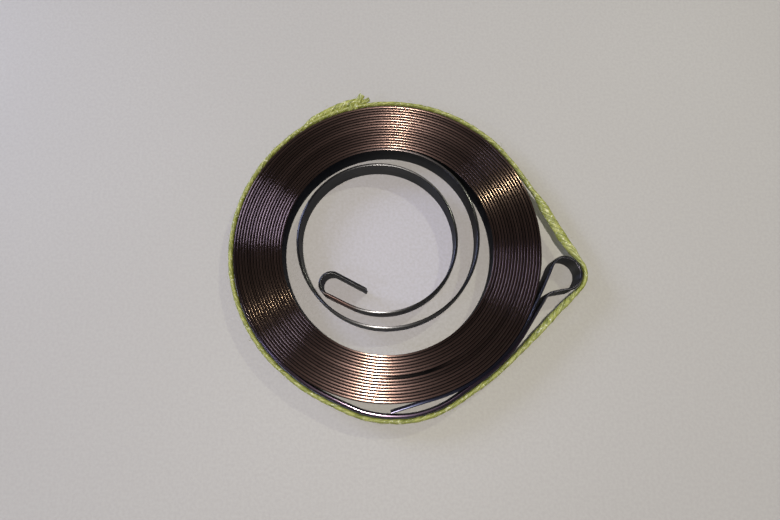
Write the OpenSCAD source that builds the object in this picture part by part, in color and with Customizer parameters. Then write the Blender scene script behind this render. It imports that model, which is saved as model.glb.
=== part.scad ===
// Recoil starter spring: one steel strip wound flat on its edge, with a hook inside and an eye outside,
// tied up with a cord so that it stays wound.
// The origin is the coil axis on the base plane. +X points to the side of the eye, and +Z is up.
// The strip winds outwards counter-clockwise, seen from above.

/* [Strip] */
// Width of the strip, which stands on its edge
strip_w = 6; // [4:0.5:12]
// Thickness of the strip
strip_t = 0.6; // [0.4:0.05:0.8]

/* [Wound pack] */
// Centre-line radius of the pack's innermost turn
pack_r = 24.4; // [22:0.2:32]
// Whole turns in the pack
pack_turns = 16; // [4:1:20]
// Air between neighbouring turns
turn_gap = 0.06; // [0.04:0.01:0.2]

/* [Free inner turns] */
// Radius lost where the second turn leaves the pack
second_drop = 3; // [2.4:0.1:3.6]
// Radius lost in the second turn's last quarter
quarter_drop = 0.9; // [0.4:0.1:1.4]
// Radius lost in the first turn's upper half
first_drop = 2.1; // [1.6:0.1:2.8]
// Radius lost in the first turn's lower arc
low_drop = 1.3; // [0.8:0.1:2]
// Angle of the first turn's lower arc
low_sweep = 116; // [106:1:124]

/* [Inner hook] */
// Straight neck between the first turn and the hook
hook_neck = 6; // [4:0.1:8]
// Centre-line radius of the hook's bend
hook_r = 2.6; // [1.8:0.1:3.2]
// Angle of the hook's bend
hook_sweep = 182; // [170:1:190]
// Length of the hook's free leg
hook_leg = 7.6; // [4:0.1:9]

/* [Outer eye] */
// Centre-line radius of the eye
eye_r = 3.8; // [3:0.1:5]
// Distance that the eye stands off the outer turn
eye_stand = 1.85; // [1:0.05:3]
// Direction of the eye, seen from the coil axis
eye_angle = -8.3; // [-11:0.1:-6]
// Direction of the strip where it enters the eye
eye_entry = 8; // [0:1:16]
// Radius of the kink in front of the eye
kink_r = 3; // [1.5:0.1:4]
// Angle at which the last turn leaves the pack for the eye
last_leave = 328; // [324:1:331]

/* [Folded tail] */
// Angle at which the last turn lifts off to clear the tail's end
lift_angle = 245; // [235:1:250]
// Angle at which the last turn lies down on the tail
lay_angle = 305; // [300:1:315]
// Radius of the last turn's bulge over the tail's end
bulge_r = 22.5; // [18:0.5:25]
// Angle at which the tail runs out straight
tail_angle = 287; // [284:1:296]
// Length of the tail's straight end
tail_end = 10; // [4:0.1:10.5]

/* [Binding cord] */
// Thickness of the cord
cord_d = 1.4; // [1:0.1:2]
// Height of the cord's centre line above the base
cord_z = 4.7; // [1.5:0.1:4.8]
// Air between the cord and the strip
cord_gap = 0.1; // [0.05:0.05:0.3]
// Angle of the knot, seen from the coil axis
knot_angle = 102; // [80:1:140]
// Thickness of the knot
knot_d = 2.4; // [2:0.1:3]
// Angle along which the cord's loose end lies back on the loop
end_sweep = 22; // [10:1:30]
// Length of the cord's cut stub, from the middle of the knot
stub_length = 2.8; // [2:0.1:4]
// Direction of the stub, against the direction straight out from the axis
stub_lean = -40; // [-60:1:0]

/* [Hidden] */
$fn = 48;

// Every second segment of a path is thicker by this seam on each side.
// Its neighbours run into it by the lap.
seam = 0.01;
lap = 0.1;

// Spiral of half turns about two centres on the X axis, a half pitch apart
// The pitch is a whole number of 0.004 mm, so that the half turns meet exactly
pitch = 0.004 * round((strip_t + turn_gap) / 0.004);
upper_centre = [-pitch / 4, 0];
lower_centre = [pitch / 4, 0];
last_upper_r = pack_r + pack_turns * pitch;
last_lower_r = last_upper_r + pitch / 2;

// The tail takes the last turn's place, and the last turn lies one pitch further out
tail_r = last_lower_r;
over_r = last_lower_r + pitch;

// Bulge: two straights, tangent at the lift and lay angles, joined by one arc
bulge_sweep = lay_angle - lift_angle;
bulge_cut = bulge_r * tan(bulge_sweep / 2);
lift_run = (over_r - last_lower_r * cos(bulge_sweep)) / sin(bulge_sweep) - bulge_cut;
lay_run = (last_lower_r - over_r * cos(bulge_sweep)) / sin(bulge_sweep) - bulge_cut;

// Eye: a straight enters it from the kink, and its other straight is tangent to the tail's arc
eye_reach = tail_r + eye_r + eye_stand;
eye_centre = lower_centre + eye_reach * unit(eye_angle);
eye_exit = eye_angle + 180 + asin((eye_r + tail_r) / eye_reach);
eye_sweep = eye_exit - eye_entry;
exit_run = sqrt(eye_reach * eye_reach - (eye_r + tail_r) * (eye_r + tail_r));
kink_sweep = last_leave + 90 - 360 - eye_entry;
kink_cut = kink_r * tan(kink_sweep / 2);
leave_point = lower_centre + over_r * unit(last_leave);
entry_point = eye_centre + eye_r * unit(eye_entry - 90);
entry_gap = entry_point - leave_point;
leave_run = cross(entry_gap, unit(eye_entry)) / cross(unit(last_leave + 90), unit(eye_entry)) - kink_cut;
entry_run = cross(unit(last_leave + 90), entry_gap) / cross(unit(last_leave + 90), unit(eye_entry)) - kink_cut;

// Free inner turns: each arc's radius follows from the one before
second_r = pack_r - second_drop;
quarter_r = second_r - quarter_drop;
first_r = quarter_r - first_drop;
low_r = first_r - low_drop;

// Cord: a loop that runs round the pack, the bulge and the eye, clear of the strip
cord_off = strip_t / 2 + cord_gap + cord_d / 2;
cord_r = last_upper_r + cord_off;
// Angle between the loop's two ends, inside the knot
knot_slip = 1;
// Distance from the loop to the loose end that lies on it
end_lap = 0.8 * cord_d;
bulge_centre = lower_centre + last_lower_r * unit(lift_angle) + lift_run * unit(lift_angle + 90)
    - bulge_r * unit(lift_angle);
low_line = tangent(bulge_centre, bulge_r + cord_off, eye_centre, eye_r + cord_off);
high_line = tangent(eye_centre, eye_r + cord_off, upper_centre, cord_r);

// Paths are lists of segments, each drawn where the one before ends: [radius, angle] for a bend, left turns
// positive, or [0, length] for a straight.
inner_path = [
    [-second_r, 180],
    [-quarter_r, 90],
    [-first_r, 180],
    [-low_r, low_sweep],
    [0, hook_neck],
    [-hook_r, 90],
    [-hook_r, hook_sweep - 90],
    [0, hook_leg],
];
outer_path = [
    [last_lower_r, lift_angle - 180],
    [0, lift_run],
    [bulge_r, bulge_sweep],
    [0, lay_run],
    [over_r, last_leave - lay_angle],
    [0, leave_run],
    [-kink_r, kink_sweep],
    [0, entry_run],
    [eye_r, 180],
    [eye_r, eye_sweep - 180],
    [0, exit_run],
    [-tail_r, eye_exit + 90 - tail_angle],
    [0, tail_end],
];
cord_path = [
    [last_lower_r + cord_off, lift_angle - 180],
    [0, lift_run],
    [bulge_r + cord_off, low_line[0] + 270 - lift_angle],
    [0, low_line[1]],
    [eye_r + cord_off, high_line[0] - low_line[0]],
    [0, high_line[1]],
    [cord_r, knot_angle + 90 - high_line[0] - knot_slip],
];

function unit(angle) = [cos(angle), sin(angle)];

// Heading and length of the line that leaves one left-turning circle and joins the next
function tangent(c1, r1, c2, r2) =
    let (gap = c2 - c1, reach = norm(gap))
    [atan2(gap.y, gap.x) - asin((r2 - r1) / reach), sqrt(reach * reach - (r2 - r1) * (r2 - r1))];

// Moves its children to the end of a segment that starts at the origin along +X
module advance(segment) {
    if (segment[0] == 0)
        translate([segment[1], 0])
            children();
    else
        translate([0, segment[0]])
            rotate(sign(segment[0]) * segment[1])
                translate([0, -segment[0]])
                    children();
}

// Angle of a bend that has the length of the lap
function lap_angle(radius) = lap / abs(radius) * 180 / PI;

// A straight of a section that has its width along X and its height along Y, with more length at its ends
module straight(length, before = 0, after = 0) {
    translate([-before, 0])
        rotate([90, 0, 90])
            linear_extrude(length + before + after)
                children();
}

// A bend of such a section, with more angle at its ends
module bend(segment, before = 0, after = 0) {
    from_angle = segment[0] > 0 ? -90 - before : 90 - segment[1] - after;
    translate([0, segment[0]])
        rotate(from_angle)
            rotate_extrude(angle = segment[1] + before + after)
                translate([abs(segment[0]), 0])
                    children();
}

// Draws a path, one segment after the other.
// The first child is the thin section, and the second child is the thick one.
module sweep_path(path, first = 0) {
    segment = path[first];
    thick = first % 2 == 0;
    last = first == len(path) - 1;
    before = thick && first > 0 ? 0 : 1;
    after = thick || last ? 0 : 1;
    if (segment[0] == 0)
        straight(segment[1], before * lap, after * lap)
            children(thick ? 1 : 0);
    else
        bend(segment, before * lap_angle(segment[0]), after * lap_angle(segment[0]))
            children(thick ? 1 : 0);
    if (!last)
        advance(segment)
            sweep_path(path, first + 1) {
                children(0);
                children(1);
            }
}

// Cross-section of the strip, centred on its path: thicker by more on each side, and less wide by as much
module strip_section(more = 0) {
    translate([-strip_t / 2 - more, more])
        square([strip_t + 2 * more, strip_w - 2 * more]);
}

// Draws a path of the strip
module strip_path(path) {
    sweep_path(path) {
        strip_section();
        strip_section(seam);
    }
}

// A part of a turn of the pack
module pack_turn(centre, radius, from_angle, sweep) {
    translate(centre)
        rotate(from_angle)
            rotate_extrude(angle = sweep)
                translate([radius, 0])
                    strip_section();
}

module spring_strip() {
    color("#4a3a36") {
        translate([upper_centre.x, pack_r])
            strip_path(inner_path);
        pack_turn(upper_centre, pack_r, 90, 90);
        for (turn = [1 : pack_turns]) {
            pack_turn(lower_centre, pack_r + (turn - 0.5) * pitch, 180, 180);
            pack_turn(upper_centre, pack_r + turn * pitch, 0, 180);
        }
        translate([lower_centre.x - last_lower_r, 0])
            rotate(270)
                strip_path(outer_path);
    }
}

// Cross-section of the cord
module cord_section(thickness) {
    circle(d = thickness, $fn = 8);
}

// An arc of the cord about the pack's upper centre
module cord_arc(radius, from_angle, sweep) {
    rotate(from_angle)
        rotate_extrude(angle = sweep)
            translate([radius, 0])
                cord_section(cord_d);
}

// The knot, the loose end that lies back on the loop, and the cut stub
module knot() {
    translate([cord_r, 0]) {
        sphere(d = knot_d);
        rotate(stub_lean)
            straight(stub_length)
                cord_section(cord_d);
    }
    cord_arc(cord_r + end_lap, 0, end_sweep);
}

module binding_cord() {
    color("#a8b04e")
        translate([upper_centre.x, 0, cord_z]) {
            translate([-cord_r, 0])
                rotate(270)
                    sweep_path(cord_path) {
                        cord_section(cord_d);
                        cord_section(cord_d + 2 * seam);
                    }
            cord_arc(cord_r, knot_angle, 180 - knot_angle);
            rotate(knot_angle)
                knot();
        }
}

spring_strip();
binding_cord();
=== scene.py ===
"""A recoil starter spring, wound tight and tied up with twine, lying on a pale table.

The strip and the twine follow the solids' routes, with the edges, the play between the turns, the temper
colours and the fibres that the solids leave out. Between the bulge and the eye, the twine keeps outside the
last turn.
"""
import math

import bpy
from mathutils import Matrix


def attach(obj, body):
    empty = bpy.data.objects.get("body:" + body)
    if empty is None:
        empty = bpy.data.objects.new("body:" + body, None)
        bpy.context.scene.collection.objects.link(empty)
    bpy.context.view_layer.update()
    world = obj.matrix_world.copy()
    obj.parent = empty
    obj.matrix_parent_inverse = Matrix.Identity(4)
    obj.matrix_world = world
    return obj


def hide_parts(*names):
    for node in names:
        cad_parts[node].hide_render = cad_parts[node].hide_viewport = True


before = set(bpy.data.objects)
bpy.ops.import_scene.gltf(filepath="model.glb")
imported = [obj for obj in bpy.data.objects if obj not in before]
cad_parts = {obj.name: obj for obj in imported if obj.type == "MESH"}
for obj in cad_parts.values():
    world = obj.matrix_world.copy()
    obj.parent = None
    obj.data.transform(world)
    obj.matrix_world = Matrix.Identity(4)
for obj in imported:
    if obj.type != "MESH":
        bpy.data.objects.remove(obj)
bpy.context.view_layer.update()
MM = 0.001

# Sizes of the part, in millimetres and degrees, as in its source
STRIP_W, STRIP_T = 6.0, 0.6
PACK_R, PACK_TURNS, PITCH = 24.4, 16, 0.66
SECOND_R, QUARTER_R, FIRST_R, LOW_R, LOW_SWEEP = 21.4, 20.5, 18.4, 17.1, 116
HOOK_NECK, HOOK_R, HOOK_SWEEP, HOOK_LEG = 6.0, 2.6, 182, 7.6
EYE_R, EYE_STAND, EYE_ANGLE, EYE_ENTRY, KINK_R, LAST_LEAVE = 3.8, 1.85, -8.3, 8, 3.0, 328
LIFT_ANGLE, LAY_ANGLE, BULGE_R, TAIL_ANGLE, TAIL_END = 245, 305, 22.5, 287, 10.0
CORD_D, CORD_GAP, KNOT_ANGLE = 1.4, 0.1, 102

# Sizes that the solids don't have, in the same units
# Thickness at which the strip is drawn, so that the turns close up, and the rounding of its two sides
DRAWN_T, OUTER_ROUND, INNER_ROUND = PITCH - 0.01, 0.39, 0.12
# Play of the strip to the side and upwards
TURN_PLAY, EDGE_PLAY = 0.01, 0.05
# How far the outer turns stand out, the angle where they do most, and how far on either side it ends
LOOSE, LOOSE_ANGLE, LOOSE_WIDTH = 0.75, 25, 125
# The same for the last turn alone, where it lifts off
LIFT, LIFT_PEAK, LIFT_WIDTH = 0.5, LIFT_ANGLE + 7, 22
# Radius and angles of a stretch of one of the lower turns that is painted dark, as painted shade
PAINTED_SHADE_R, PAINTED_SHADE_FROM, PAINTED_SHADE_TO = 29.35, 268, 322
# Height at which the twine lies, close under the strip's upper edge
TWINE_Z = 5.0
# Angle at which the knot starts, the angle through which it winds, and how far its wraps reach out and up
KNOT_START, KNOT_WIND, WRAP_OUT, WRAP_UP = KNOT_ANGLE - 1, 620, 0.8, 0.7
# Angles of the coil that the knot and the loose end cover, and the steps of their lines and of a stub's
KNOT_SPAN, END_SPAN, KNOT_STEPS, STUB_STEPS = 3.6, 24, 40, 10
# Each cut stub's direction from the knot's own, its length and how thick it is against the twine
STUBS = (-46, 3.3, 1.05), (-78, 3.9, 0.75)
# Longest step between two points of the strip's line, of the twine's, and largest bend in one step
STRIP_STEP, TWINE_STEP, MOST_BEND = 1.2, 0.3, 7


# Routes

def unit(angle):
    """The direction at an angle."""
    return math.cos(math.radians(angle)), math.sin(math.radians(angle))


def cross(a, b):
    """The cross product of two flat vectors."""
    return a[0] * b[1] - a[1] * b[0]


def between(value, low, high):
    """0 below low, 1 above high, and in proportion between them."""
    return min(max((value - low) / (high - low), 0.0), 1.0)


def bump(angle, centre, width):
    """1 at the centre angle, falling to 0 at the width on either side."""
    off = (angle - centre + 180) % 360 - 180
    return max(0.0, 1 - (off / width) ** 2) ** 2


def walk(start, segments, step):
    """Points (x, y) along arcs (radius, angle), left turns positive, and straights (0, length)."""
    x, y, heading = start
    points = [(x, y)]
    for radius, amount in segments:
        length = amount if radius == 0 else abs(radius) * math.radians(amount)
        count = max(1 if radius == 0 else math.ceil(amount / MOST_BEND), math.ceil(length / step))
        for i in range(1, count + 1):
            share = i / count
            if radius == 0:
                ux, uy = unit(heading)
                points.append((x + ux * amount * share, y + uy * amount * share))
            else:
                ux, uy = unit(heading - 90)
                vx, vy = unit(heading - 90 + math.copysign(amount * share, radius))
                points.append((x + radius * (vx - ux), y + radius * (vy - uy)))
        x, y = points[-1]
        if radius:
            heading += math.copysign(amount, radius)
    return points


def tangent(c1, r1, c2, r2):
    """Heading and length of the line from one left-turning circle to the next."""
    gx, gy = c2[0] - c1[0], c2[1] - c1[1]
    reach = math.hypot(gx, gy)
    return (math.degrees(math.atan2(gy, gx) - math.asin((r2 - r1) / reach)),
            math.sqrt(reach ** 2 - (r2 - r1) ** 2))


# The pack is half turns about two centres on the X axis, and the last turn lies one pitch outside the tail
upper_x, lower_x = -PITCH / 4, PITCH / 4
last_upper_r = PACK_R + PACK_TURNS * PITCH
last_lower_r = last_upper_r + PITCH / 2
over_r = last_lower_r + PITCH

# Bulge: two straights, tangent at the lift and lay angles, joined by one arc
bulge_sweep = LAY_ANGLE - LIFT_ANGLE
bulge_cut = BULGE_R * math.tan(math.radians(bulge_sweep / 2))
sweep_cos, sweep_sin = unit(bulge_sweep)
lift_run = (over_r - last_lower_r * sweep_cos) / sweep_sin - bulge_cut
lay_run = (last_lower_r - over_r * sweep_cos) / sweep_sin - bulge_cut
lift_way, lift_out = unit(LIFT_ANGLE + 90), unit(LIFT_ANGLE)
bulge_centre = (lower_x + (last_lower_r - BULGE_R) * lift_out[0] + lift_run * lift_way[0],
                (last_lower_r - BULGE_R) * lift_out[1] + lift_run * lift_way[1])

# Eye: a straight enters it from the kink, and its other straight is tangent to the tail's arc
eye_reach = last_lower_r + EYE_R + EYE_STAND
eye_centre = (lower_x + eye_reach * unit(EYE_ANGLE)[0], eye_reach * unit(EYE_ANGLE)[1])
eye_exit = EYE_ANGLE + 180 + math.degrees(math.asin((EYE_R + last_lower_r) / eye_reach))
exit_run = math.sqrt(eye_reach ** 2 - (EYE_R + last_lower_r) ** 2)
kink_sweep = LAST_LEAVE - 270 - EYE_ENTRY
kink_cut = KINK_R * math.tan(math.radians(kink_sweep / 2))
leave_way, entry_way = unit(LAST_LEAVE + 90), unit(EYE_ENTRY)
entry_gap = (eye_centre[0] + EYE_R * unit(EYE_ENTRY - 90)[0] - lower_x - over_r * unit(LAST_LEAVE)[0],
             eye_centre[1] + EYE_R * unit(EYE_ENTRY - 90)[1] - over_r * unit(LAST_LEAVE)[1])
leave_run = cross(entry_gap, entry_way) / cross(leave_way, entry_way) - kink_cut
entry_run = cross(leave_way, entry_gap) / cross(leave_way, entry_way) - kink_cut

# Distance from the strip's centre line to the cord's
cord_off = STRIP_T / 2 + CORD_GAP + CORD_D / 2
cord_r = last_upper_r + cord_off


def spread(x, y):
    """A point of a route, moved out where the outer turns lie looser and where the last turn lifts off."""
    r, angle = math.hypot(x, y), math.degrees(math.atan2(y, x))
    outer = min(between(r, PACK_R, over_r), max((eye_reach - r) / EYE_R, 0.0))
    last = between(r, last_lower_r - 0.4, last_lower_r - 0.1)
    loose = outer * LOOSE * bump(angle, LOOSE_ANGLE, LOOSE_WIDTH)
    lift = last * LIFT * bump(angle, LIFT_PEAK, LIFT_WIDTH)
    growth = 1 + (loose + lift) / r
    return x * growth, y * growth


def strip_route(step):
    """The strip's centre line from the hook's free end to the end of the tail."""
    inner = [(-SECOND_R, 180), (-QUARTER_R, 90), (-FIRST_R, 180), (-LOW_R, LOW_SWEEP), (0, HOOK_NECK),
             (-HOOK_R, HOOK_SWEEP), (0, HOOK_LEG)]
    turns = [(PACK_R, 90)]
    for turn in range(PACK_TURNS):
        turns += [(PACK_R + (turn + 0.5) * PITCH, 180), (PACK_R + (turn + 1) * PITCH, 180)]
    outer = [(last_lower_r, LIFT_ANGLE - 180), (0, lift_run), (BULGE_R, bulge_sweep), (0, lay_run),
             (over_r, LAST_LEAVE - LAY_ANGLE), (0, leave_run), (-KINK_R, kink_sweep), (0, entry_run),
             (EYE_R, eye_exit - EYE_ENTRY), (0, exit_run), (-last_lower_r, eye_exit + 90 - TAIL_ANGLE),
             (0, TAIL_END)]
    inwards = walk((upper_x, PACK_R, 0), inner, step)
    outwards = walk((upper_x, PACK_R, 180), turns + outer, step)
    return [spread(x, y) for x, y in inwards[::-1] + outwards[1:]]


def cord_route(step):
    """The twine's loop round the pack and the eye, from the knot back to the knot."""
    low = tangent((lower_x, 0), over_r + cord_off, eye_centre, EYE_R + cord_off)
    high = tangent(eye_centre, EYE_R + cord_off, (upper_x, 0), cord_r)
    loop = [(cord_r, 180 - KNOT_ANGLE), (last_lower_r + cord_off, LIFT_ANGLE - 180), (0, lift_run),
            (BULGE_R + cord_off, bulge_sweep), (0, lay_run),
            (over_r + cord_off, low[0] + 270 - LAY_ANGLE), (0, low[1]),
            (EYE_R + cord_off, high[0] - low[0]), (0, high[1]), (cord_r, KNOT_ANGLE + 90 - high[0])]
    kx, ky = unit(KNOT_ANGLE)
    return walk((upper_x + cord_r * kx, cord_r * ky, KNOT_ANGLE + 90), loop, step)


# Lines of points (x, y, z, turn, fat): the section's turn in radians, and its share of the full thickness

def loop_line():
    """The loop, turned flat and wider where it spans the air."""
    line = []
    for x, y in cord_route(TWINE_STEP):
        upper = y > eye_centre[1]
        from_pack = math.hypot(x, y) - (cord_r + 0.5 if upper else over_r + cord_off)
        from_eye = math.dist((x, y), eye_centre) - EYE_R - cord_off
        from_bulge = math.dist((x, y), bulge_centre) - BULGE_R - cord_off
        free = between(min(from_pack, from_eye, from_bulge), 0.0, CORD_D)
        turn, fat = (1.35, 0.26) if upper else (0.6, 0.12)
        line.append((*spread(x, y), TWINE_Z - 0.2 * free, turn * free, 0.86 + fat * free))
    return line


def polar(angle, radius, z):
    """A point about the pack's upper centre."""
    ux, uy = unit(angle)
    return upper_x + radius * ux, radius * uy, z


def knot_lines():
    """The knot's wraps, the loose end that lies back on the loop, and the two cut stubs."""
    wraps, loose, stubs = [], [], []
    for i in range(KNOT_STEPS + 1):
        share = i / KNOT_STEPS
        ux, uy = unit(KNOT_WIND * share)
        place = polar(KNOT_START + KNOT_SPAN * share, cord_r + 0.5 + WRAP_OUT * ux,
                      TWINE_Z - 0.3 + WRAP_UP * uy)
        wraps.append((*place, 0.0, 0.95))
        # The loose end waves a little and sinks onto the loop
        radius = cord_r + 1.2 + 0.12 * math.sin(i * 0.45) - 1.1 * share ** 2
        place = polar(KNOT_START + END_SPAN * share, radius, TWINE_Z - 0.2 + 0.15 * math.sin(i * 0.31))
        loose.append((*place, 0.45, 1.6 - 0.8 * share ** 2))
    sx, sy, sz = polar(KNOT_ANGLE + 0.2, cord_r + 0.7, TWINE_Z)
    for lean, length, fat in STUBS:
        ux, uy = unit(KNOT_ANGLE + lean)
        steps = [length * i / STUB_STEPS for i in range(STUB_STEPS + 1)]
        stubs.append([(sx + ux * step, sy + uy * step, sz + 0.006 * i * i, 0.9, fat)
                      for i, step in enumerate(steps)])
    return [wraps, loose, *stubs]


# Nodes

class Wire:
    """A node's output socket. Sums and products of wires and numbers add Math nodes."""

    def __init__(self, net, socket):
        self.net, self.socket = net, socket

    def out(self, name):
        """Another output of the same node."""
        return Wire(self.net, self.socket.node.outputs[name])

    def __add__(self, other):
        return self.net.maths("ADD", self, other)

    __radd__ = __add__

    def __sub__(self, other):
        return self.net.maths("SUBTRACT", self, other)

    def __rsub__(self, other):
        return self.net.maths("SUBTRACT", other, self)

    def __mul__(self, other):
        return self.net.maths("MULTIPLY", self, other)

    __rmul__ = __mul__

    def __truediv__(self, other):
        return self.net.maths("DIVIDE", self, other)

    def __abs__(self):
        return self.net.maths("ABSOLUTE", self)

    def ease(self, low, high):
        """0 below low, 1 above high, and a smooth step between."""
        return self.net.add("ShaderNodeMapRange", {"interpolation_type": "SMOOTHSTEP"},
                            {"Value": self, "From Min": low, "From Max": high})

    def within(self, start, full, fade, end):
        """A smooth rise from start to full, and a fall from fade to end."""
        return self.ease(start, full) * (1 - self.ease(fade, end))

    def scaled(self, factor):
        """This vector times a number."""
        return self.net.add("ShaderNodeVectorMath", {"operation": "SCALE"}, {0: self, "Scale": factor})

    def plus(self, other):
        """The sum of two vectors."""
        return self.net.add("ShaderNodeVectorMath", {"operation": "ADD"}, {0: self, 1: other})

    def crossed(self, other):
        """The cross product of two vectors."""
        return self.net.add("ShaderNodeVectorMath", {"operation": "CROSS_PRODUCT"}, {0: self, 1: other})


class Net:
    """A node tree that is filled by add."""

    def __init__(self, tree):
        self.tree = tree

    def add(self, kind, settings=None, sockets=None, output=0):
        """Adds a node, sets its settings, then the values or links of its sockets, and gives its output."""
        node = self.tree.nodes.new(kind)
        for key, value in (settings or {}).items():
            setattr(node, key, value)
        for key, value in (sockets or {}).items():
            if isinstance(value, Wire):
                self.tree.links.new(value.socket, node.inputs[key])
            else:
                node.inputs[key].default_value = value
        return Wire(self, node.outputs[output]) if node.outputs else None

    def maths(self, operation, a, b=0.0):
        """A Math node on numbers or wires."""
        return self.add("ShaderNodeMath", {"operation": operation}, {0: a, 1: b})

    def mix(self, share, a, b):
        """A colour between a and b."""
        a, b = (c if isinstance(c, Wire) else (*c, 1) for c in (a, b))
        return self.add("ShaderNodeMix", {"data_type": "RGBA"}, {0: share, 6: a, 7: b}, 2)

    def noise(self, scale, detail, **place):
        """Noise from 0 to 1, along W or over Vector."""
        return self.add("ShaderNodeTexNoise", {"noise_dimensions": "1D" if "W" in place else "3D"},
                        {"Scale": scale, "Detail": detail, **place})

    def vector(self, x, y, z):
        """A vector of three numbers or wires."""
        return self.add("ShaderNodeCombineXYZ", None, {0: x, 1: y, 2: z})

    def attribute(self, name, output=2):
        """What the mesh keeps under a name, as a number, or as a vector with output 1."""
        return self.add("ShaderNodeAttribute", {"attribute_name": name}, None, output)

    def place(self):
        """Object coordinates."""
        return self.add("ShaderNodeTexCoord", None, None, 3)

    def bumps(self, strength, distance, height):
        """The normal of a surface with fine bumps."""
        return self.add("ShaderNodeBump", None,
                        {"Strength": strength, "Distance": distance, "Height": height})


def shader(name, constants):
    """A material with one Principled shader, its net, and a function that links the shader's sockets."""
    material = bpy.data.materials.new(name)
    material.use_nodes = True
    node = material.node_tree.nodes["Principled BSDF"]
    for key, value in constants.items():
        node.inputs[key].default_value = value
    net = Net(material.node_tree)

    def feed(wires):
        for key, wire in wires.items():
            net.tree.links.new(wire.socket, node.inputs[key])
    return material, net, feed


# Finishes

# Polished along the strip, so that light spreads across it
BRUSHED_STEEL = {"Metallic": 1.0, "Anisotropic": 1.0, "Anisotropic Rotation": 0.25}


def tempered_steel(length, painted_shade_from, painted_shade_to):
    """Blue-black strip walls, smooth bronze edges, temper colours at the ends, and painted shade on the walls
    within the pack and on one stretch of a lower turn.
    """
    material, net, feed = shader("tempered_steel",
                                 {"Specular Tint": (0.45, 0.46, 0.5, 1.0), **BRUSHED_STEEL})
    along, rim, place = net.attribute("along"), net.attribute("rim"), net.place()
    height = net.add("ShaderNodeSeparateXYZ", None, {0: place}, 2)
    # Rolling marks: long in the strip's direction, fine across it
    marks = net.noise(1.0, 3.0, Vector=net.vector(along * 0.08, height * 2600.0, 0.0))
    turns = net.noise(0.012, 2.0, W=along)
    spots = net.noise(0.25, 2.0, W=along + 500.0)
    # Where heat coloured the strip, in millimetres along it: the hook's neck, the eye with its turn, the tail
    hook_heat = along.within(14.0, 17.5, 20.0, 25.0)
    eye_heat = along.ease(length - 190.0, length - 130.0)
    tail_heat = along.ease(length - 38.0, length - 26.0)
    pack = along.within(190.0, 230.0, length - 86.0, length - 74.0)
    # Painted shade: one stretch of a lower turn is made dark and loses the skin's sheen, where that turn
    # would lie sunk in shadow
    painted_shade = along.within(painted_shade_from - 3.0, painted_shade_from + 3.0, painted_shade_to - 9.0, painted_shade_to)
    wall = net.mix(marks.ease(0.35, 0.7), (0.060, 0.062, 0.061), (0.090, 0.090, 0.088))
    wall = net.mix(hook_heat, wall, (0.13, 0.080, 0.070))
    wall = net.mix(eye_heat * turns.ease(0.3, 0.6), wall, (0.050, 0.050, 0.085))
    # Painted shade: the walls are made almost black within the pack, where they face each other across the
    # narrow gaps between turns
    wall = net.mix(pack * 0.8, wall, (0.008, 0.009, 0.011))
    edge = net.mix(turns.ease(0.35, 0.65), (0.050, 0.033, 0.033), (0.092, 0.060, 0.058))
    edge = net.mix(eye_heat * 0.7, edge, (0.060, 0.048, 0.085))
    edge = net.mix(pack, net.mix(tail_heat, (0.070, 0.070, 0.072), (0.028, 0.034, 0.060)), edge)
    edge = net.mix(hook_heat, edge, (0.085, 0.052, 0.045))
    # Painted shade on the edges of that stretch
    edge = net.mix(painted_shade, edge, (0.006, 0.005, 0.005))
    feed({"Base Color": net.mix(rim.ease(0.74, 0.9), wall, edge), "Roughness": 0.27 + spots * 0.04,
          "Normal": net.bumps(0.08, 0.00002, marks * (1 - rim))})
    # The burnished skin on the edges
    tint = net.mix(turns.ease(0.35, 0.65), (0.22, 0.148, 0.112), (0.33, 0.222, 0.168))
    tint = net.mix(pack, (0.23, 0.22, 0.22), tint)
    tint = net.mix(eye_heat * 0.7, tint, (0.26, 0.20, 0.30))
    skin = net.add("ShaderNodeBsdfPrincipled", None,
                   {"Base Color": tint, "Roughness": 0.165, **BRUSHED_STEEL})
    burnished = rim.ease(0.7, 0.86) * (0.10 + pack * 0.30) * (1 - painted_shade)
    ground = Wire(net, net.tree.nodes["Principled BSDF"].outputs[0])
    steel = net.add("ShaderNodeMixShader", None, {0: burnished, 1: ground, 2: skin})
    net.tree.links.new(steel.socket, net.tree.nodes["Material Output"].inputs["Surface"])
    return material


def twine_fibre():
    """Yellow-green split-film twine: glossy strands with painted highlights on them and painted shade in the
    lines between them.
    """
    material, net, feed = shader("twine_fibre",
                                 {"Subsurface Weight": 0.2, "Subsurface Radius": (0.8, 0.8, 0.3),
                                  "Subsurface Scale": 0.0004, "Coat Roughness": 0.25})
    strand, along = net.attribute("strand", 1), net.attribute("along")
    lines = net.noise(4.2, 4.0, Vector=strand)
    patches = net.noise(0.3, 3.0, W=along)
    specks = net.noise(1700.0, 2.0, Vector=net.place())
    colour = net.mix(patches.ease(0.3, 0.7), (0.36, 0.39, 0.075), (0.47, 0.485, 0.13))
    # Painted shade: darker in the low lines between the strands
    colour = net.mix(lines.ease(0.38, 0.54), net.mix(0.8, colour, (0.10, 0.12, 0.02)), colour)
    colour = net.mix((1 - specks.ease(0.3, 0.45)) * 0.6, colour, (0.14, 0.16, 0.03))
    # Painted highlights: pale on the high ridges of the strands, and pale glints in small specks
    colour = net.mix(lines.ease(0.6, 0.72) * 0.8, colour, (0.84, 0.83, 0.52))
    colour = net.mix(specks.ease(0.6, 0.72) * 0.75, colour, (0.88, 0.88, 0.62))
    feed({"Base Color": colour, "Roughness": 0.6 - lines * 0.35,
          "Coat Weight": specks.ease(0.55, 0.7) * 0.8,
          "Normal": net.bumps(0.6, 0.00012, lines + specks)})
    return material


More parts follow.
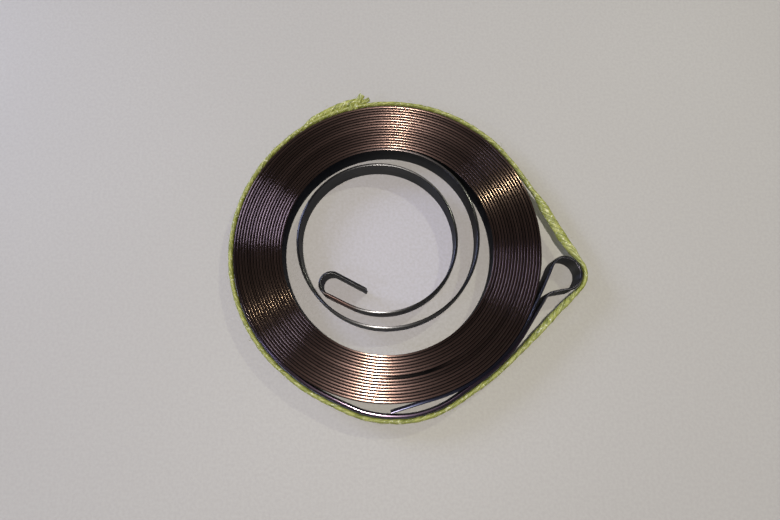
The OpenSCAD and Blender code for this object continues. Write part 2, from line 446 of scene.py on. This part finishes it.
def pale_table():
    """Plain pale table top with a faint pebbled grain, and painted light on it inside the coil's hub."""
    material, net, feed = shader("pale_table", {})
    place = net.place()
    fine = net.noise(1500.0, 3.0, Vector=place)
    broad = net.noise(14.0, 2.0, Vector=place)
    colour = net.mix(broad, (0.494, 0.481, 0.446), (0.534, 0.524, 0.490))
    centre = net.add("ShaderNodeVectorMath", {"operation": "LENGTH"}, {0: place}, 1)
    # Painted light: the table is lighter and lilac inside the coil's hub, where reflected light and cool
    # window light would fall
    colour = net.mix(centre.ease(0.012, 0.032), (0.540, 0.523, 0.545), colour)
    colour = net.mix(fine.ease(0.3, 0.7) * 0.4, colour, (0.43, 0.412, 0.388))
    feed({"Base Color": colour, "Roughness": 0.5 + fine * 0.1, "Normal": net.bumps(0.15, 0.0002, fine)})
    return material


# Sweeps

def sweep_tree(name, sizes):
    """A Geometry Nodes tree with a line as input, named sizes and a material."""
    tree = bpy.data.node_groups.new(name, "GeometryNodeTree")
    tree.interface.new_socket("Line", in_out="INPUT", socket_type="NodeSocketGeometry")
    for size in sizes:
        tree.interface.new_socket(size, in_out="INPUT", socket_type="NodeSocketFloat")
    tree.interface.new_socket("Finish", in_out="INPUT", socket_type="NodeSocketMaterial")
    tree.interface.new_socket("Piece", in_out="OUTPUT", socket_type="NodeSocketGeometry")
    net = Net(tree)
    return tree, net, net.add("NodeGroupInput")


def close_tree(net, piece, finish):
    """The tree's end: a smooth, whole mesh with its material."""
    piece = net.add("GeometryNodeSetShadeSmooth", None, {"Geometry": piece})
    piece = net.add("GeometryNodeRealizeInstances", None, {"Geometry": piece})
    piece = net.add("GeometryNodeSetMaterial", None, {"Geometry": piece, "Material": finish})
    net.add("NodeGroupOutput", None, {"Piece": piece})


def named(net, name, kind="FLOAT"):
    """What the geometry keeps under a name."""
    return net.add("GeometryNodeInputNamedAttribute", {"data_type": kind}, {"Name": name})


def keep(net, geometry, name, value, kind="FLOAT"):
    """The geometry, with a value kept under a name."""
    return net.add("GeometryNodeStoreNamedAttribute", {"data_type": kind, "domain": "POINT"},
                   {"Geometry": geometry, "Name": name, "Value": value})


def strip_tree():
    """Sweeps the strip's section along its line, rounder on the outside, with a little play between turns."""
    tree, net, given = sweep_tree("strip sweep", ["Width", "Thickness", "Outer radius", "Inner radius",
                                                  "Turn play", "Edge play"])
    width = given.out("Width")
    outer_radius, inner_radius = given.out("Outer radius"), given.out("Inner radius")
    along = named(net, "along")
    line = net.add("GeometryNodeMeshToCurve", None, {"Mesh": given.out("Line")})
    side = net.add("GeometryNodeInputTangent").crossed((0.0, 0.0, 1.0))
    sway = (net.noise(0.03, 1.0, W=along) - 0.5) * 2.0 * given.out("Turn play")
    rise = net.noise(0.02, 1.0, W=along + 911.0) * given.out("Edge play")
    offset = side.scaled(sway).plus(net.vector(0.0, 0.0, rise + width * 0.5))
    line = net.add("GeometryNodeSetPosition", None, {"Geometry": line, "Offset": offset})
    line = net.add("GeometryNodeSetCurveNormal", {"mode": "Z_UP"}, {"Curve": line})
    section = net.add("GeometryNodeCurvePrimitiveQuadrilateral", None,
                      {"Width": given.out("Thickness"), "Height": width})
    across = net.add("ShaderNodeSeparateXYZ", None, {0: net.add("GeometryNodeInputPosition")})
    outer = net.maths("GREATER_THAN", across, 0.0)
    radius = inner_radius + outer * (outer_radius - inner_radius)
    section = net.add("GeometryNodeFilletCurve", {"mode": "POLY"},
                      {"Curve": section, "Count": 5, "Radius": radius})
    to_rim = (abs(across.out("Y")) - width * 0.5) / outer_radius + 1.0
    section = keep(net, section, "rim", to_rim)
    piece = net.add("GeometryNodeCurveToMesh", None,
                    {"Curve": line, "Profile Curve": section, "Fill Caps": True})
    close_tree(net, piece, given.out("Finish"))
    return tree


def twine_tree():
    """Sweeps a flat bundle of film along a line, with twisted strands, swellings and loose fibres."""
    tree, net, given = sweep_tree("twine sweep", ["Twist length", "Thickness", "Breadth", "Strand depth",
                                                  "Fibre length"])
    along = named(net, "along")
    line = net.add("GeometryNodeMeshToCurve", None, {"Mesh": given.out("Line")})
    line = net.add("GeometryNodeSetCurveNormal", {"mode": "Z_UP"}, {"Curve": line})
    line = net.add("GeometryNodeSetCurveTilt", None, {"Curve": line, "Tilt": named(net, "turn")})
    swell = named(net, "fat") * (0.82 + net.noise(0.28, 2.0, W=along) * 0.36)
    line = net.add("GeometryNodeSetCurveRadius", None, {"Curve": line, "Radius": swell})
    # The bundle, from a ring that is pressed flat and keeps its round places for the strands
    ring = net.add("GeometryNodeCurvePrimitiveCircle", None, {"Resolution": 20, "Radius": 1.0})
    ring = keep(net, ring, "ring", net.add("GeometryNodeInputPosition"), "FLOAT_VECTOR")
    half_sizes = net.vector(given.out("Thickness") * 0.5, given.out("Breadth") * 0.5, 0.0)
    flat = net.add("ShaderNodeVectorMath", {"operation": "MULTIPLY"},
                   {0: net.add("GeometryNodeInputPosition"), 1: half_sizes})
    ring = net.add("GeometryNodeSetPosition", None, {"Geometry": ring, "Position": flat})
    bundle = net.add("GeometryNodeCurveToMesh", None,
                     {"Curve": line, "Profile Curve": ring, "Fill Caps": True,
                      "Scale": net.add("GeometryNodeInputRadius")})
    # Strands: noise that turns round the line
    twisted = net.add("ShaderNodeVectorRotate", {"rotation_type": "Z_AXIS"},
                      {"Vector": named(net, "ring", "FLOAT_VECTOR"),
                       "Angle": along / given.out("Twist length") * math.tau})
    bundle = keep(net, bundle, "strand", twisted.plus(net.vector(0.0, 0.0, along * 0.1)), "FLOAT_VECTOR")
    strands = net.noise(1.9, 3.0, Vector=named(net, "strand", "FLOAT_VECTOR"))
    ridge = (strands - 0.5) * 2.0 * given.out("Strand depth")
    bundle = net.add("GeometryNodeSetPosition", None,
                     {"Geometry": bundle, "Offset": net.add("GeometryNodeInputNormal").scaled(ridge)})
    # Fibres: short bent hairs that stand in all directions
    spots = net.add("GeometryNodeDistributePointsOnFaces", None,
                    {"Mesh": bundle, "Density": 200000.0, "Seed": 4})
    hair = net.add("GeometryNodeCurveArc", None,
                   {"Resolution": 5, "Radius": given.out("Fibre length"), "Sweep Angle": 1.0})
    hair_ring = net.add("GeometryNodeCurvePrimitiveCircle", None,
                        {"Resolution": 3, "Radius": given.out("Fibre length") * 0.03})
    hair = net.add("GeometryNodeCurveToMesh", None, {"Curve": hair, "Profile Curve": hair_ring})
    lean = net.add("FunctionNodeRandomValue", {"data_type": "FLOAT_VECTOR"},
                   {"Min": (0.0, 0.0, 0.0), "Max": (math.tau, math.tau, math.tau), "Seed": 7})
    hairs = net.add("GeometryNodeInstanceOnPoints", None,
                    {"Points": spots, "Instance": hair, "Rotation": lean})
    twine = net.add("GeometryNodeJoinGeometry")
    for part in (bundle, hairs):
        net.tree.links.new(part.socket, twine.socket.node.inputs[0])
    close_tree(net, twine, given.out("Finish"))
    return tree


def grown(name, lines, tree, settings):
    """A plain mesh at the origin, grown by a tree from lines of points, which are in millimetres."""
    places, edges, run = [], [], []
    marks = {"along": run, "turn": [], "fat": []}
    for line in lines:
        # Each line's lengths start 50 mm after the last one's end, so that their patterns differ
        start = run[-1] + 50.0 if run else 0.0
        for i, (*place, turn, fat) in enumerate(line):
            if i:
                start += math.dist(place, line[i - 1][:3])
                edges.append((len(places) - 1, len(places)))
            places.append([c * MM for c in place])
            run.append(start)
            marks["turn"].append(turn)
            marks["fat"].append(fat)
    mesh = bpy.data.meshes.new(name)
    mesh.from_pydata(places, edges, [])
    for key, values in marks.items():
        mesh.attributes.new(key, "FLOAT", "POINT").data.foreach_set("value", values)
    piece = bpy.data.objects.new(name, mesh)
    bpy.context.scene.collection.objects.link(piece)
    grow = piece.modifiers.new("grow", "NODES")
    grow.node_group = tree
    for item in tree.interface.items_tree:
        if item.name in settings:
            grow[item.identifier] = settings[item.name]
    piece.modifiers.new("even", "WEIGHTED_NORMAL").keep_sharp = True
    graph = bpy.context.evaluated_depsgraph_get()
    piece.data = bpy.data.meshes.new_from_object(piece.evaluated_get(graph), preserve_all_data_layers=True,
                                                 depsgraph=graph)
    piece.modifiers.clear()
    return piece


# Pieces

def on_painted_shade(x, y):
    """Whether a point of the strip's route is on the stretch that is painted with shade."""
    angle = math.degrees(math.atan2(y, x)) % 360
    return abs(math.hypot(x, y) - PAINTED_SHADE_R) < PITCH / 3 and PAINTED_SHADE_FROM < angle < PAINTED_SHADE_TO


route = strip_route(STRIP_STEP)
strip_length, painted_shade_run = 0.0, []
for before, point in zip(route, route[1:]):
    strip_length += math.dist(before, point)
    if on_painted_shade(*point):
        painted_shade_run.append(strip_length)
strip = grown("tempered_strip", [[(x, y, 0.0, 0.0, 1.0) for x, y in route]], strip_tree(),
              {"Width": STRIP_W * MM, "Thickness": DRAWN_T * MM,
               "Outer radius": OUTER_ROUND * MM, "Inner radius": INNER_ROUND * MM,
               "Turn play": TURN_PLAY * MM, "Edge play": EDGE_PLAY * MM,
               "Finish": tempered_steel(strip_length, painted_shade_run[0], painted_shade_run[-1])})
# The shader's brushing runs round the middle of the mesh's texture space, here the coil's axis
strip.data.use_auto_texspace = False
strip.data.texspace_location = 0.0, 0.0, 0.0
strip.data.texspace_size = 0.04, 0.04, 0.04
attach(strip, "root")
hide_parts("spring_strip")

twine = grown("binding_twine", [loop_line()] + knot_lines(), twine_tree(),
              {"Twist length": 9.6, "Thickness": 1.25 * MM, "Breadth": 1.9 * MM, "Strand depth": 0.2 * MM,
               "Fibre length": 0.8 * MM, "Finish": twine_fibre()})
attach(twine, "root")
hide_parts("binding_cord")

# Table, light and camera

TABLE_HALF = 1.5
corners = [(x * TABLE_HALF, y * TABLE_HALF, 0) for x, y in ((-1, -1), (1, -1), (1, 1), (-1, 1))]
table_mesh = bpy.data.meshes.new("table")
table_mesh.from_pydata(corners, [], [(0, 1, 2, 3)])
table_mesh.materials.append(pale_table())
table = bpy.data.objects.new("table", table_mesh)
bpy.context.scene.collection.objects.link(table)


def lamp(name, watts, size, place, colour):
    """A soft round lamp that faces the coil."""
    light = bpy.data.lights.new(name, "AREA")
    light.shape, light.energy, light.size, light.color = "DISK", watts, size, colour
    thing = bpy.data.objects.new(name, light)
    thing.location = place
    thing.rotation_euler = (-thing.location).to_track_quat("-Z", "Y").to_euler()
    bpy.context.scene.collection.objects.link(thing)


lamp("ceiling lamp", 3.5, 0.024, (-0.024, -0.03, 0.75), (1.0, 0.94, 0.87))
lamp("side lamp", 0.72, 0.02, (0.34, 0.343, 0.58), (0.95, 0.98, 0.75))
lamp("window", 2.5, 0.31, (-0.58, 0.315, 0.36), (0.53, 0.60, 0.98))
lamp("far window", 0.4, 0.14, (-0.464, -0.246, 0.535), (0.55, 0.63, 0.98))

# The room is dimmer overhead than round about
world = bpy.data.worlds.new("room")
world.use_nodes = True
bpy.context.scene.world = world
room = Net(world.node_tree)
up = room.add("ShaderNodeSeparateXYZ", None, {0: room.add("ShaderNodeTexCoord", None, None, 0)}, 2)
glow = room.mix(up.ease(0.35, 0.7), (0.30, 0.285, 0.28), (0.062, 0.057, 0.058))
world.node_tree.links.new(glow.socket, world.node_tree.nodes["Background"].inputs["Color"])

# The focal length and the picture's width, in pixels
FOCAL, PICTURE_W = 563, 780
camera = bpy.data.cameras.new("camera")
camera.sensor_width, camera.lens = 36.0, 36.0 * FOCAL / PICTURE_W
camera.clip_start = 0.005
viewer = bpy.data.objects.new("camera", camera)
viewer.location = (0.0007, -0.0297, 0.1323)
viewer.rotation_euler = (math.radians(12.0), 0.0, 0.0)
bpy.context.scene.collection.objects.link(viewer)
bpy.context.scene.camera = viewer
bpy.context.scene.view_settings.view_transform = "Standard"
